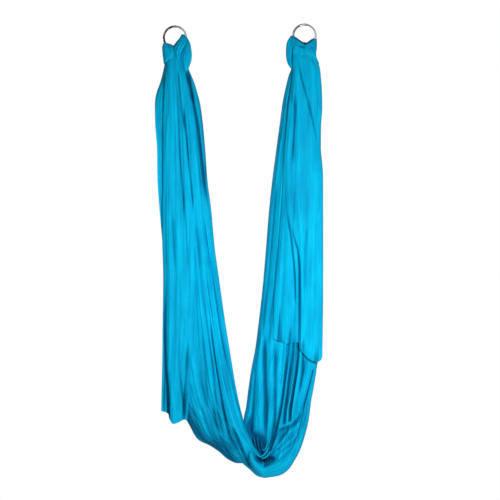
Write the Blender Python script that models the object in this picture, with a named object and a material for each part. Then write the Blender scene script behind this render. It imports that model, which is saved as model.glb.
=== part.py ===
"""Aerial hammock: one long knit cloth gathered and knotted on two welded steel rings.

Metres, +Z up, +X from the left ring to the right ring, the viewer's side is -Y.
The origin is the left ring's hang point: the inside of the top of its bar.
The cloth is one sheet. It is split into the stretches that move apart: two knots,
two limbs, the seat between them, and the two loose tails in front of the limbs.
"""
import math

import bmesh
import bpy
from mathutils import Matrix, Vector

# Rings
RING_OUTER = 0.088
RING_BAR = 0.008
RING_SPAN = 0.466
RIGHT_RING_RISE = 0.007
RING_STEPS = 48
BAR_STEPS = 12
UPRIGHT = (math.radians(90), 0, 0)

# Overall heights, all measured down from the left ring's hang point
HINGE_DROP = 0.109
SEAT_PLANE_DROP = 1.340

# Clearances
GAP = 0.0003
REST_GAP = 0.0008

# Knots
BAND_RADIUS = 0.021
LOOP_RADIUS = 0.0125
CORE_RADIUS = 0.024
KNOT_SIDES = 10
BAND_PATH_STEPS = 2
LOOP_PATH_STEPS = 4
LEFT_KNOT_LOW_DEGREES = 66
LEFT_KNOT_HIGH_DEGREES = 100
RIGHT_KNOT_LOW_DEGREES = 78
RIGHT_KNOT_HIGH_DEGREES = 96
SWING_DEGREES = 20
SWING_MARGIN_DEGREES = 8
NECK_RADIUS = 0.015
NECK_DEGREES = (75, 50, 25, 0)
LOOP_DROP = 0.046
CUT_OVERRUN = 0.060
TROUGH_SIDES = 32
ALONG_X = (0, math.radians(90), 0)

# Forms of the knot's bands, as shares of their radius or of their length
HIGH_BAND_START_SHARE = 0.55
LOW_BAND_START_SHARE = 0.60
BAND_TAPER_SHARE = 0.3
LOOP_START_SHARE = 0.95
LOOP_END_SHARE = 0.55
CORE_PLACE_SHARES = (0, 0.3, 0.7, 1)
CORE_SIZE_SHARES = (0.8, 1, 1, 0.8)
# Front to back thickness of each band as a share of its width
HIGH_BAND_DEPTH_SHARE = 1.1
LOW_BAND_DEPTH_SHARE = 1.05
LOOP_DEPTH_SHARE = 1.3
CORE_DEPTH_SHARE = 1.15

# Limbs
NECK_INNER = 0.0300
NECK_OUTER = 0.0330
RIGHT_NECK_INNER = 0.0340
RIGHT_NECK_OUTER = 0.0415
LEFT_BULGE = 0.038
RIGHT_BULGE = 0.0235
CROTCH_SHARE = 0.525
CROTCH_LEFT = 0.018
CROTCH_RIGHT = 0.0145
CROTCH_DROP = 0.065
LIMB_FRONT = 0.0545
LIMB_BACK = 0.0712
LIMB_FOLD = 0.016
FOLD_START_DROP = 0.055
LIMB_FOLD_COUNT = 5
LIMB_FOLD_START_SHARE = 0.35
LIMB_FOLD_GROWTH_SHARE = 3

# Points on the front and on the back of each closed section
LIMB_COUNTS = (20, 16)
SEAT_COUNTS = (20, 18)
TAIL_COUNTS = (18, 8)

# Form of a section: how square it is, how its folds drift and how sharp they are
SQUARENESS = 4
FOLD_DRIFT_SHARE = 1.3
FOLD_PACE_SHARE = 2.1
FOLD_SHARPNESS_SHARE = 0.7

# Tails
TAIL_TOP_DROP = 0.030
TAIL_BARREL = 0.010
TAIL_THICKNESS = 0.034
TAIL_FOLD = 0.013
LEFT_TAIL_LENGTH = 1.265
LEFT_TAIL_WIDTH = 0.108
LEFT_HEM_SLOPE = 0.032
RIGHT_TAIL_LENGTH = 0.990
RIGHT_TAIL_WIDTH = 0.180
RIGHT_HEM_STEP = 0.068
SLIT_DEPTH = 0.022
TAIL_TOP_DEGREES = (70, 35, 0)
LEFT_TAIL_FOLD_COUNT = 3
RIGHT_TAIL_FOLD_COUNT = 4
# How thick the tail is at its top, and how its thickness, folds and slit grow downwards
TAIL_TOP_SHARE = 0.6
TAIL_GROWTH_SHARE = 3
TAIL_FOLD_GROWTH_SHARE = 6
SLIT_GROWTH_SHARE = 5

# Colours and surfaces
CLOTH_COLOUR = (0.002, 0.368, 0.638, 1.0)
CLOTH_ROUGHNESS_SHARE = 0.55
STEEL_COLOUR = (0.62, 0.64, 0.66, 1.0)
STEEL_ROUGHNESS_SHARE = 0.18
SMOOTH_DEGREES = 50

RING_MEAN = (RING_OUTER - RING_BAR) / 2
RING_CENTRE_DROP = RING_MEAN - RING_BAR / 2
LEFT_CENTRE = Vector((0, 0, -RING_CENTRE_DROP))
RIGHT_CENTRE = Vector((RING_SPAN, 0, RIGHT_RING_RISE - RING_CENTRE_DROP))
HINGE_Z = -HINGE_DROP
SEAT_Z = -SEAT_PLANE_DROP
CROTCH_X = CROTCH_SHARE * RING_SPAN
LIMB_LENGTH = HINGE_Z - SEAT_Z
FLARE = math.radians(SWING_DEGREES + SWING_MARGIN_DEGREES)

# Limb outline: share of the limb's length, share of the way in to the crotch,
# share of the outward bulge
LEFT_LIMB_SHARES = [
    (0.048, 0.02, 0.10),
    (0.061, 0.11, 0.35),
    (0.080, 0.20, 0.66),
    (0.123, 0.284, 1.00),
    (0.181, 0.339, 0.95),
    (0.298, 0.394, 0.76),
    (0.415, 0.486, 0.57),
    (0.532, 0.541, 0.33),
    (0.649, 0.651, 0.24),
    (0.766, 0.761, 0.19),
    (0.883, 0.872, 0.00),
    (1.000, 1.000, -0.57),
]
RIGHT_LIMB_SHARES = [
    (0.048, 0.02, 0.30),
    (0.061, 0.08, 0.60),
    (0.080, 0.15, 0.77),
    (0.123, 0.217, 0.85),
    (0.240, 0.326, 0.69),
    (0.357, 0.457, 1.00),
    (0.474, 0.543, 1.00),
    (0.591, 0.609, 1.00),
    (0.708, 0.674, 0.92),
    (0.825, 0.804, 0.62),
    (0.912, 0.900, 0.08),
    (1.000, 1.000, -0.77),
]
# Depth along both limbs: share of the limb's length, share of the front depth,
# share of the back depth
DEPTH_SHARES = [
    (0.048, 0.72, 0.62),
    (0.123, 0.80, 0.78),
    (0.298, 0.88, 0.90),
    (0.600, 0.94, 1.00),
    (1.000, 1.00, 1.00),
]
# Seat outline: degrees from the left limb round to the right one, share of the
# outer radius, share of the inner drop
SEAT_SHARES = [
    (0, 1.000, 0.00),
    (14, 0.920, 0.02),
    (28, 0.850, 0.04),
    (42, 0.852, 0.08),
    (54, 0.800, 0.15),
    (66, 0.840, 0.27),
    (76, 0.880, 0.50),
    (84, 0.912, 0.82),
    (90, 0.930, 1.00),
    (96, 1.010, 0.66),
    (104, 1.150, 0.34),
    (113, 1.205, 0.20),
    (124, 1.190, 0.12),
    (137, 1.105, 0.07),
    (150, 1.035, 0.04),
    (164, 1.000, 0.02),
    (180, 1.000, 0.00),
]
# Tail outline: share of the tail's length, left and right edge from the ring's
# centre line as shares of the tail's width
LEFT_TAIL_SHARES = [
    (0.040, -0.32, 0.26),
    (0.100, -0.55, 0.38),
    (0.150, -0.62, 0.44),
    (0.280, -0.57, 0.50),
    (0.450, -0.46, 0.53),
    (0.680, -0.40, 0.56),
    (0.890, -0.43, 0.50),
    (1.000, -0.45, 0.40),
]
RIGHT_TAIL_SHARES = [
    (0.050, -0.18, 0.25),
    (0.150, -0.32, 0.35),
    (0.330, -0.42, 0.37),
    (0.480, -0.49, 0.37),
    (0.620, -0.54, 0.37),
    (0.780, -0.60, 0.37),
    (0.900, -0.62, 0.36),
    (1.000, -0.63, 0.36),
]
# Knot bands: share of the band's highest angle on the ring, and how far the band
# lies outside the ring as a share of the band's radius
HIGH_BAND_SHARES = [
    (1.00, 0.00),
    (0.75, -0.10),
    (0.50, 0.00),
    (0.25, 0.15),
    (0.00, 0.35),
    (-0.25, 0.60),
    (-0.45, 0.70),
]
LOW_BAND_SHARES = [
    (1.00, 0.00),
    (0.60, 0.05),
    (0.20, 0.20),
    (-0.20, 0.35),
]
# Where the right tail's slit lies across it and where along it the slit starts
SLIT_PLACE_SHARE = 0.54
SLIT_START_SHARE = 0.55
# Half width of the slit across the tail, as a share of the tail's width
SLIT_HALF_SHARE = 0.05


def interpolate(table, at, column):
    """Read one column of a table of shares, straight between its rows."""
    if at <= table[0][0]:
        return table[0][column]
    for low, high in zip(table, table[1:]):
        if at <= high[0]:
            part = (at - low[0]) / (high[0] - low[0])
            return low[column] + part * (high[column] - low[column])
    return table[-1][column]


def with_middles(downs, first):
    """The places with one more halfway between each two of them, from place first on."""
    middles = [(low + high) / 2 for low, high in zip(downs[first:], downs[first + 1:])]
    return sorted(set(downs + middles))


def clear_scene():
    for thing in list(bpy.data.objects):
        bpy.data.objects.remove(thing)


def make_collection(name):
    collection = bpy.data.collections.new(name)
    bpy.context.scene.collection.children.link(collection)
    return collection


def make_material(name, colour, metallic, roughness):
    material = bpy.data.materials.new(name)
    material.use_nodes = True
    shader = material.node_tree.nodes["Principled BSDF"]
    shader.inputs["Base Color"].default_value = colour
    shader.inputs["Metallic"].default_value = metallic
    shader.inputs["Roughness"].default_value = roughness
    material.diffuse_color = colour
    return material


def place(thing, collection, material=None):
    """Move an object to its collection and give it its material."""
    for old in list(thing.users_collection):
        old.objects.unlink(thing)
    collection.objects.link(thing)
    if material is not None:
        thing.data.materials.clear()
        thing.data.materials.append(material)
    return thing


def mark_cutter(thing):
    thing.hide_render = True
    thing.display_type = "WIRE"
    return thing


def loft(name, sections, collection, material):
    """Join closed sections of equal count into one closed body with flat ends."""
    mesh = bpy.data.meshes.new(name)
    body = bmesh.new()
    rings = [[body.verts.new(point) for point in section] for section in sections]
    for upper, lower in zip(rings, rings[1:]):
        for index in range(len(upper)):
            after = (index + 1) % len(upper)
            body.faces.new((upper[index], lower[index], lower[after], upper[after]))
    for cap in (rings[0], rings[-1]):
        body.faces.new(cap)
    bmesh.ops.recalc_face_normals(body, faces=body.faces)
    bmesh.ops.triangulate(body, faces=body.faces, ngon_method="EAR_CLIP")
    body.to_mesh(mesh)
    body.free()
    mesh.shade_smooth()
    mesh.set_sharp_from_angle(angle=math.radians(SMOOTH_DEGREES))
    return place(bpy.data.objects.new(name, mesh), collection, material)


def steel_ring(name, centre, collection, material):
    """A welded round ring that stands in the plane of the two limbs."""
    bpy.ops.mesh.primitive_torus_add(
        major_radius=RING_MEAN,
        minor_radius=RING_BAR / 2,
        major_segments=RING_STEPS,
        minor_segments=BAR_STEPS,
        location=centre,
        rotation=UPRIGHT,
    )
    ring = bpy.context.object
    ring.name = ring.data.name = name
    ring.data.shade_smooth()
    return place(ring, collection, material)


def bundle(name, points, radii, flatten, collection):
    """A gathered band of cloth: a tapered tube through points, flattened front to back."""
    curve = bpy.data.curves.new(name, "CURVE")
    curve.dimensions = "3D"
    curve.bevel_depth = 1
    curve.bevel_resolution = KNOT_SIDES // 2 - 2
    curve.use_fill_caps = True
    spline = curve.splines.new("POLY")
    spline.points.add(len(points) - 1)
    for target, point, radius in zip(spline.points, points, radii):
        target.co = (*point, 1)
        target.radius = radius
    temporary = bpy.data.objects.new(name + "_curve", curve)
    bpy.context.scene.collection.objects.link(temporary)
    bpy.context.view_layer.update()
    solid = temporary.evaluated_get(bpy.context.evaluated_depsgraph_get())
    mesh = bpy.data.meshes.new_from_object(solid)
    bpy.data.objects.remove(temporary)
    body = bmesh.new()
    body.from_mesh(mesh)
    bmesh.ops.remove_doubles(body, verts=body.verts, dist=GAP / 10)
    bmesh.ops.scale(body, vec=(1, flatten, 1), verts=body.verts)
    bmesh.ops.recalc_face_normals(body, faces=body.faces)
    body.to_mesh(mesh)
    body.free()
    mesh.name = name
    return place(bpy.data.objects.new(name, mesh), collection)


def smooth_path(corners, steps):
    """Points on a smooth curve through the corners."""
    path = []
    last = len(corners) - 1
    for index in range(last):
        before = corners[max(index - 1, 0)]
        start, end = corners[index], corners[index + 1]
        after = corners[min(index + 2, last)]
        for step in range(steps):
            t = step / steps
            path.append(
                0.5
                * (
                    2 * start
                    + (end - before) * t
                    + (2 * before - 5 * start + 4 * end - after) * t**2
                    + (3 * start - before - 3 * end + after) * t**3
                )
            )
    path.append(corners[last])
    return path


def on_ring(centre, side, degrees, outward=0):
    """A point at an angle from the ring's lowest point, side +1 towards +X."""
    angle = math.radians(degrees)
    reach = RING_MEAN + outward
    return centre + Vector((side * reach * math.sin(angle), 0, -reach * math.cos(angle)))


def difference(target, cutter):
    cut = target.modifiers.new("cut_" + cutter.name, "BOOLEAN")
    cut.operation = "DIFFERENCE"
    cut.object = cutter
    cut.solver = "EXACT"


def union(target, other):
    join = target.modifiers.new("join_" + other.name, "BOOLEAN")
    join.operation = "UNION"
    join.object = other
    join.solver = "EXACT"


def band_path(centre, side, degrees, shares):
    """A band's route over the ring from a table of its angles and places outside it."""
    corners = [
        on_ring(centre, side, degrees * angle_share, BAND_RADIUS * outward_share)
        for angle_share, outward_share in shares
    ]
    return smooth_path(corners, BAND_PATH_STEPS)


def tapered(count, start_share):
    """Radii of a band that starts narrow and grows to its full width."""
    return [BAND_RADIUS * min(1, start_share + BAND_TAPER_SHARE * index) for index in range(count)]


def hanging_loop(name, centre, side, high_degrees, collection):
    """The loop of cloth that hangs from the high band on the side of the knot."""
    x = centre.x + side * (RING_MEAN + LOOP_RADIUS / 2)
    corners = [
        on_ring(centre, side, high_degrees * LOOP_START_SHARE, LOOP_RADIUS / 3),
        Vector((x + side * LOOP_RADIUS / 4, 0, centre.z - RING_MEAN / 2)),
        Vector((x + side * LOOP_RADIUS / 3, 0, HINGE_Z)),
        Vector((x - side * LOOP_RADIUS / 4, 0, HINGE_Z - LOOP_DROP + LOOP_RADIUS / 2)),
    ]
    path = smooth_path(corners, LOOP_PATH_STEPS)
    last = len(path) - 1
    radii = [
        LOOP_RADIUS * (LOOP_END_SHARE + (1 - LOOP_END_SHARE) * math.sin(math.pi * index / last))
        for index in range(last + 1)
    ]
    return bundle(name, path, radii, LOOP_DEPTH_SHARE, collection)


def gathered_core(name, neck, collection):
    """The bunched cloth in the middle of the knot, as wide as the limb's neck."""
    z = HINGE_Z + CORE_RADIUS / 3
    path = [Vector((neck[0] * (1 - share) + neck[1] * share, 0, z)) for share in CORE_PLACE_SHARES]
    radii = [CORE_RADIUS * share for share in CORE_SIZE_SHARES]
    return bundle(name, path, radii, CORE_DEPTH_SHARE, collection)


def ring_channel(name, centre, collection):
    """The room that the ring needs inside the knot."""
    bpy.ops.mesh.primitive_torus_add(
        major_radius=RING_MEAN,
        minor_radius=RING_BAR / 2 + GAP,
        major_segments=RING_STEPS,
        minor_segments=BAR_STEPS,
        location=centre,
        rotation=UPRIGHT,
    )
    channel = bpy.context.object
    channel.name = name
    return place(channel, collection)


def neck_trough(name, start, end, collection):
    """The round hollow under the knot in which the limb's neck turns."""
    bpy.ops.mesh.primitive_cylinder_add(
        vertices=TROUGH_SIDES,
        radius=NECK_RADIUS + GAP,
        depth=end - start,
        location=((start + end) / 2, 0, HINGE_Z),
        rotation=ALONG_X,
    )
    trough = bpy.context.object
    trough.name = name
    return place(trough, collection)


def swing_room(name, start, end, collection):
    """The room below the hinge that the swinging limb needs."""
    middle = ((start + end) / 2, 0, HINGE_Z - CUT_OVERRUN / 2)
    bpy.ops.mesh.primitive_cube_add(size=1, location=middle)
    room = bpy.context.object
    room.name = name
    room.data.transform(Matrix.Diagonal((end - start, 2 * CUT_OVERRUN, CUT_OVERRUN, 1)))
    return place(room, collection)


def knot(name, centre, loop_side, low_degrees, high_degrees, neck, collection, cutters, material):
    """Two bands over the ring's lower bar, a hanging loop on one side and a gathered core.

    loop_side is the side (+1 or -1 along X) on which the knot climbs higher on the
    ring and where the loop hangs. neck is the X range of the limb's neck below.
    """
    high_path = band_path(centre, loop_side, high_degrees, HIGH_BAND_SHARES)
    low_path = band_path(centre, -loop_side, low_degrees, LOW_BAND_SHARES)
    high_radii = tapered(len(high_path), HIGH_BAND_START_SHARE)
    low_radii = tapered(len(low_path), LOW_BAND_START_SHARE)
    base = bundle(name, high_path, high_radii, HIGH_BAND_DEPTH_SHARE, collection)
    low_band = bundle(name + "_low_band", low_path, low_radii, LOW_BAND_DEPTH_SHARE, cutters)
    loop = hanging_loop(name + "_loop", centre, loop_side, high_degrees, cutters)
    core = gathered_core(name + "_core", neck, cutters)

    room_start = neck[0] - CUT_OVERRUN if loop_side > 0 else neck[0] - REST_GAP
    room_end = neck[1] + REST_GAP if loop_side > 0 else neck[1] + CUT_OVERRUN
    channel = ring_channel(name + "_channel", centre, cutters)
    trough = neck_trough(name + "_trough", room_start, room_end, cutters)
    room = swing_room(name + "_room", room_start, room_end, cutters)

    for other in (low_band, loop, core):
        union(base, other)
        mark_cutter(other)
    for cutter in (room, trough, channel):
        difference(base, cutter)
        mark_cutter(cutter)
    base.data.materials.append(material)
    return base


def fold_wave(across, along, folds):
    """Depth of the folds from 0 to 1 at a place across and along the cloth."""
    drift = FOLD_DRIFT_SHARE * math.sin(FOLD_PACE_SHARE * along + folds)
    wave = (1 - math.cos(2 * math.pi * folds * across + drift)) / 2
    return wave**FOLD_SHARPNESS_SHARE


def fullness(share):
    """1 along the middle of a section, easing to 0 at both of its ends."""
    return 1 - (2 * share - 1) ** SQUARENESS


def between(start, end, share, depth):
    """A point at a share of the way from start to end, points (x, z), at a Y depth."""
    x = start[0] + share * (end[0] - start[0])
    z = start[1] + share * (end[1] - start[1])
    return Vector((x, depth, z))


def cloth_section(start, end, along, front, back, fold, counts):
    """One closed section: front side from start to end, then the back side home.

    start and end are points (x, z); front and back are Y depths; folds cut into
    the section from both sides, so it never stands outside front and back.
    """
    front_count, back_count = counts
    middle = (front + back) / 2
    points = []
    for index in range(front_count):
        share = index / front_count
        full = fullness(share)
        depth = front * full + middle * (1 - full)
        depth += fold * fold_wave(share, along, LIMB_FOLD_COUNT) * full
        points.append(between(start, end, share, depth))
    for index in range(back_count):
        share = 1 - index / back_count
        full = fullness(share)
        depth = back * full + middle * (1 - full)
        depth -= fold * fold_wave(share, along, LIMB_FOLD_COUNT + 1) * full
        points.append(between(start, end, share, depth))
    return points


def limb_edges(side, down):
    """X of a limb's outer and inner edge at a share of its length."""
    if side < 0:
        table, ring_x = LEFT_LIMB_SHARES, LEFT_CENTRE.x
        neck_outer, neck_inner = ring_x - NECK_OUTER, ring_x + NECK_INNER
        bottom_inner, bulge = CROTCH_X - CROTCH_LEFT, -LEFT_BULGE
    else:
        table, ring_x = RIGHT_LIMB_SHARES, RIGHT_CENTRE.x
        neck_outer, neck_inner = ring_x + RIGHT_NECK_OUTER, ring_x - RIGHT_NECK_INNER
        bottom_inner, bulge = CROTCH_X + CROTCH_RIGHT, RIGHT_BULGE
    if down < table[0][0]:
        return neck_outer, neck_inner
    inner = neck_inner + interpolate(table, down, 1) * (bottom_inner - neck_inner)
    outer = neck_outer + interpolate(table, down, 2) * bulge
    return outer, inner


def limb_depths(down):
    front = -LIMB_FRONT * interpolate(DEPTH_SHARES, down, 1)
    back = LIMB_BACK * interpolate(DEPTH_SHARES, down, 2)
    return front, back


def limb(name, side, collection, material):
    """A gathered length of cloth from its knot down to the seat, with long folds."""
    neck = limb_edges(side, 0)
    sections = []
    for degrees in (*NECK_DEGREES, -math.degrees(FLARE)):
        angle = math.radians(degrees)
        depth = NECK_RADIUS * math.cos(angle)
        sections.append((HINGE_Z + NECK_RADIUS * math.sin(angle), neck, -depth, depth, 0, 0))
    front, back = limb_depths(0)
    sections.append((HINGE_Z + front * math.tan(FLARE), neck, front, -front, 0, 0))
    sections.append((HINGE_Z - back * math.tan(FLARE), neck, front, back, 0, 0))
    sections.append((HINGE_Z - FOLD_START_DROP, neck, front, back, LIMB_FOLD / 3, 0))
    table = LEFT_LIMB_SHARES if side < 0 else RIGHT_LIMB_SHARES
    downs = with_middles([row[0] for row in table], 2)
    for down in downs:
        z = HINGE_Z - down * LIMB_LENGTH
        if down == downs[-1]:
            z += GAP
        front, back = limb_depths(down)
        fold = LIMB_FOLD * min(1, LIMB_FOLD_START_SHARE + LIMB_FOLD_GROWTH_SHARE * down)
        sections.append((z, limb_edges(side, down), front, back, fold, down))
    rings = []
    for z, edges, front, back, fold, down in sections:
        start, end = (min(edges), z), (max(edges), z)
        rings.append(cloth_section(start, end, down, front, back, fold, LIMB_COUNTS))
    return loft(name, rings, collection, material)


def seat(name, collection, material):
    """The pouch: the cloth turns from the left limb round the crotch into the right one."""
    left_outer, _ = limb_edges(-1, 1)
    right_outer, _ = limb_edges(1, 1)
    left_reach = CROTCH_X - left_outer
    right_reach = right_outer - CROTCH_X
    front, back = limb_depths(1)
    crotch = Vector((CROTCH_X, SEAT_Z))
    rings = []
    for degrees, outer_share, inner_share in SEAT_SHARES:
        angle = math.radians(degrees)
        part = degrees / SEAT_SHARES[-1][0]
        reach = (left_reach * (1 - part) + right_reach * part) * outer_share
        ends = CROTCH_LEFT * (1 - part) + CROTCH_RIGHT * part
        inner = ends + (CROTCH_DROP - ends) * inner_share
        direction = Vector((-math.cos(angle), -math.sin(angle)))
        start, end = crotch + direction * reach, crotch + direction * inner
        rings.append(cloth_section(start, end, 1, front, back, LIMB_FOLD, SEAT_COUNTS))
    return loft(name, rings, collection, material)


def left_hem_drop(share):
    """How far the left tail's hem lies lower at a share of the way across it."""
    return LEFT_HEM_SLOPE * share


def right_hem_drop(share):
    """How far the right tail's hem lies lower beyond its slit."""
    beyond = (share - SLIT_PLACE_SHARE) / SLIT_HALF_SHARE
    return RIGHT_HEM_STEP * min(1, max(0, beyond))


def slit_depth(share, down):
    """How deep the right tail's slit is at a share across and a share down it."""
    near = max(0, 1 - abs(share - SLIT_PLACE_SHARE) / (2 * SLIT_HALF_SHARE))
    started = min(1, max(0, (down - SLIT_START_SHARE) * SLIT_GROWTH_SHARE))
    return SLIT_DEPTH * near * started


def tail_section(side, left, right, z, front, back, fold, down):
    """One closed section of a tail: a folded front and a flat back."""
    folds = LEFT_TAIL_FOLD_COUNT if side < 0 else RIGHT_TAIL_FOLD_COUNT
    hem_drop = left_hem_drop if side < 0 else right_hem_drop
    front_count, back_count = TAIL_COUNTS
    section = []
    for index in range(front_count + back_count):
        on_front = index < front_count
        share = index / front_count if on_front else 1 - (index - front_count) / back_count
        y = back
        if on_front:
            full = fullness(share)
            y = front * full + back * (1 - full) + fold * fold_wave(share, down, folds) * full
        if on_front and side > 0:
            y = min(y + slit_depth(share, down), back - TAIL_THICKNESS / 5)
        if share == 0:
            y = back - fold / 4 - GAP
        section.append(Vector((left + share * (right - left), y, z - hem_drop(share) * down)))
    return section


def tail(name, side, collection, material):
    """A loose end of the cloth that hangs from its knot in front of the limb."""
    if side < 0:
        table, length, width = LEFT_TAIL_SHARES, LEFT_TAIL_LENGTH, LEFT_TAIL_WIDTH
        ring_x = LEFT_CENTRE.x
    else:
        table, length, width = RIGHT_TAIL_SHARES, RIGHT_TAIL_LENGTH, RIGHT_TAIL_WIDTH
        ring_x = RIGHT_CENTRE.x
    top_z = HINGE_Z - TAIL_TOP_DROP
    top_back = limb_depths(TAIL_TOP_DROP / LIMB_LENGTH)[0] - GAP
    axis_y = top_back - TAIL_BARREL
    left = ring_x + interpolate(table, 0, 1) * width
    right = ring_x + interpolate(table, 0, 2) * width
    rings = []
    for degrees in TAIL_TOP_DEGREES:
        angle = math.radians(degrees)
        depth = TAIL_BARREL * math.cos(angle)
        z = top_z + TAIL_BARREL * math.sin(angle)
        rings.append(tail_section(side, left, right, z, axis_y - depth, axis_y + depth, 0, 0))
    for down in with_middles([row[0] for row in table], 1):
        z = top_z - down * length
        back = limb_depths((HINGE_Z - z) / LIMB_LENGTH)[0] - REST_GAP
        front = back - TAIL_THICKNESS * min(1, TAIL_TOP_SHARE + TAIL_GROWTH_SHARE * down)
        fold = TAIL_FOLD * min(1, TAIL_FOLD_GROWTH_SHARE * down)
        left = ring_x + interpolate(table, down, 1) * width
        right = ring_x + interpolate(table, down, 2) * width
        rings.append(tail_section(side, left, right, z, front, back, fold, down))
    return loft(name, rings, collection, material)


def main():
    clear_scene()
    parts = make_collection("aerial_hammock")
    cutters = make_collection("cutters")
    cloth = make_material("blue_knit_cloth", CLOTH_COLOUR, 0, CLOTH_ROUGHNESS_SHARE)
    steel = make_material("polished_steel", STEEL_COLOUR, 1, STEEL_ROUGHNESS_SHARE)

    steel_ring("left_ring", LEFT_CENTRE, parts, steel)
    steel_ring("right_ring", RIGHT_CENTRE, parts, steel)
    left_neck = (LEFT_CENTRE.x - NECK_OUTER, LEFT_CENTRE.x + NECK_INNER)
    right_neck = (RIGHT_CENTRE.x - RIGHT_NECK_INNER, RIGHT_CENTRE.x + RIGHT_NECK_OUTER)
    left_degrees = (LEFT_KNOT_LOW_DEGREES, LEFT_KNOT_HIGH_DEGREES)
    right_degrees = (RIGHT_KNOT_LOW_DEGREES, RIGHT_KNOT_HIGH_DEGREES)
    knot("left_knot", LEFT_CENTRE, 1, *left_degrees, left_neck, parts, cutters, cloth)
    knot("right_knot", RIGHT_CENTRE, -1, *right_degrees, right_neck, parts, cutters, cloth)
    limb("left_limb", -1, parts, cloth)
    limb("right_limb", 1, parts, cloth)
    seat("seat", parts, cloth)
    tail("left_tail", -1, parts, cloth)
    tail("right_tail", 1, parts, cloth)


main()
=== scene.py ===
"""The looks of an aerial hammock: a long knit cloth knotted on two steel rings.

Each stretch of cloth is a grid of points laid out in the photograph's own pixels
and a depth in metres, then carried into the frame by place().
"""
import math
from collections import namedtuple

import bmesh
import bpy
import numpy as np
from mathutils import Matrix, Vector


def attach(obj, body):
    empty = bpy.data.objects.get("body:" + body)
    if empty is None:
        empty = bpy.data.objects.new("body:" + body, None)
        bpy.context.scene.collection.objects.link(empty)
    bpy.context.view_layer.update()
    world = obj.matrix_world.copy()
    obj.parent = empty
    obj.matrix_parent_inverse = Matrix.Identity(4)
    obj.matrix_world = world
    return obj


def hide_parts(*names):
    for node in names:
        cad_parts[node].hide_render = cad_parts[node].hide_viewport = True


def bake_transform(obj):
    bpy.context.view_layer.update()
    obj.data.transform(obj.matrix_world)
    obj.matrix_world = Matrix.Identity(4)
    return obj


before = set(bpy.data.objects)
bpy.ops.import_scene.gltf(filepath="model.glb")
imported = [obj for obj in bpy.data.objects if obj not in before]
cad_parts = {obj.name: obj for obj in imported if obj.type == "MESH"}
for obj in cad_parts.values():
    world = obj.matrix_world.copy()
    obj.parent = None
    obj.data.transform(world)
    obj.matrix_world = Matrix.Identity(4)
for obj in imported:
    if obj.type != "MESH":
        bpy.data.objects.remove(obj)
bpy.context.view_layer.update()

# Scale and view: the photograph's pixels against the frame's metres
METRES_PER_PIXEL = 0.0036
PHOTO_WIDTH_PX = 500
HANG_PX = (175.0, 27.6)
CENTRE_PX = (250.0, 250.0)
CAMERA_DISTANCE = 8.0
CAMERA_REACH = (0.1, 60.0)
VIEW_WIDTH = PHOTO_WIDTH_PX * METRES_PER_PIXEL
VIEW_X = (CENTRE_PX[0] - HANG_PX[0]) * METRES_PER_PIXEL
VIEW_Z = -(CENTRE_PX[1] - HANG_PX[1]) * METRES_PER_PIXEL

# Floor and room
FLOOR_RADIUS = 1.9
FLOOR_SIDES = 96
FLOOR_Z = -1.95
FLOOR_SURFACE = {"Base Color": (0.90, 0.90, 0.90, 1), "Roughness": 0.8, "Specular IOR Level": 0.1}
ROOM_LIGHT = 0.18
WHITE = (1.0, 1.0, 1.0, 1.0)
# Lamps: name, place from the middle of the view, size in metres, power in watts
LAMPS = (
    ("key", (0.55, -1.7, 0.04), 0.40, 31.0),
    ("back", (-0.5, 2.6, 0.5), 1.4, 52.0),
    ("fill", (-1.6, -2.8, 1.2), 1.2, 9.0),
)

# The cloth as it was cut
CLOTH_WIDTH = 1.5
LEFT_SLING_LENGTH = 1.78
RIGHT_SLING_LENGTH = 1.62
LEFT_TAIL_LENGTH = 1.34
RIGHT_TAIL_LENGTH = 1.10
SEAT_FOLD_LENGTH = 0.5
KNOT_BAND_LENGTH = 0.12

# Rings: the steel bar, the middle of each ring and where round it the weld is, in degrees
RIGHT_HANG_X = 0.466
RING_MEAN = 0.040
RING_BAR = 0.004
LEFT_RING = Vector((0, 0, -0.036))
RIGHT_RING = Vector((RIGHT_HANG_X, 0, -0.029))
LEFT_WELD = 40
RIGHT_WELD = 320
RING_STEPS = 160
RING_SIDES = 24
# The weld: half lengths round the ring in radians, heights as shares of the bar
BEAD_REACH = 0.05
BEAD_HEIGHT = 0.09
BEAD_RIPPLE = 0.03
BEAD_RIPPLES = 5
SINK_REACH = 0.16
SINK_DEPTH = 0.02

# The look of the knit, by the names of the shader's inputs
CLOTH_SURFACE = {
    "Roughness": 0.62, "Specular IOR Level": 0.03, "Sheen Weight": 0.02, "Sheen Roughness": 0.45,
    "Sheen Tint": (0.35, 0.85, 1.0, 1.0),
}
# Noise over the cloth: spots to the metre across, along and in depth, and detail
STREAKS = ((34.0, 2.2, 1.0), 5.0)
BLOTCHES = ((6.0, 7.0, 1.0), 4.0)
CRINKLES = ((22.0, 26.0, 1.0), 5.0)
KNIT_LOOPS = ((700.0, 700.0, 1.0), 2.0)
CLOTH_NOISE_ROUGHNESS = 0.55
HALF = 0.5
CLOTH_SHADES = ((0.36, (0.0006, 0.320, 0.560, 1)), (0.64, (0.0010, 0.510, 0.800, 1)))
# Painted shade: the cloth's colour is multiplied towards this where it lies deep in a fold
FOLD_SHADE_COLOUR = (0.45, 0.34, 0.42, 1)
KNIT_RIBS = {"Scale": 130.0, "Distortion": 1.2, "Detail": 2.0}
# Reliefs: strength and height in metres
KNIT_RELIEF = (0.22, 0.0006)
STREAK_RELIEF = (0.55, 0.0035)
CRINKLE_RELIEF = (0.40, 0.004)

# The look of the steel, with painted reflection: each ring is darker towards the upper left and paler
# towards the right and the bottom
PAINTED_REFLECTION_WAY = (0.42, 0.0, -0.22)
TARNISH = {"Scale": 26.0, "Detail": 2.0}
DRAWING_MARKS = {"Scale": 260.0, "Detail": 4.0}
STEEL_SHADES = ((0.42, (0.02, 0.022, 0.025, 1)), (0.66, (0.36, 0.38, 0.40, 1)))
STEEL_ROUGHNESS = {"To Min": 0.12, "To Max": 0.30}
STEEL_RELIEF = (0.15, 0.0004)

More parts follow.
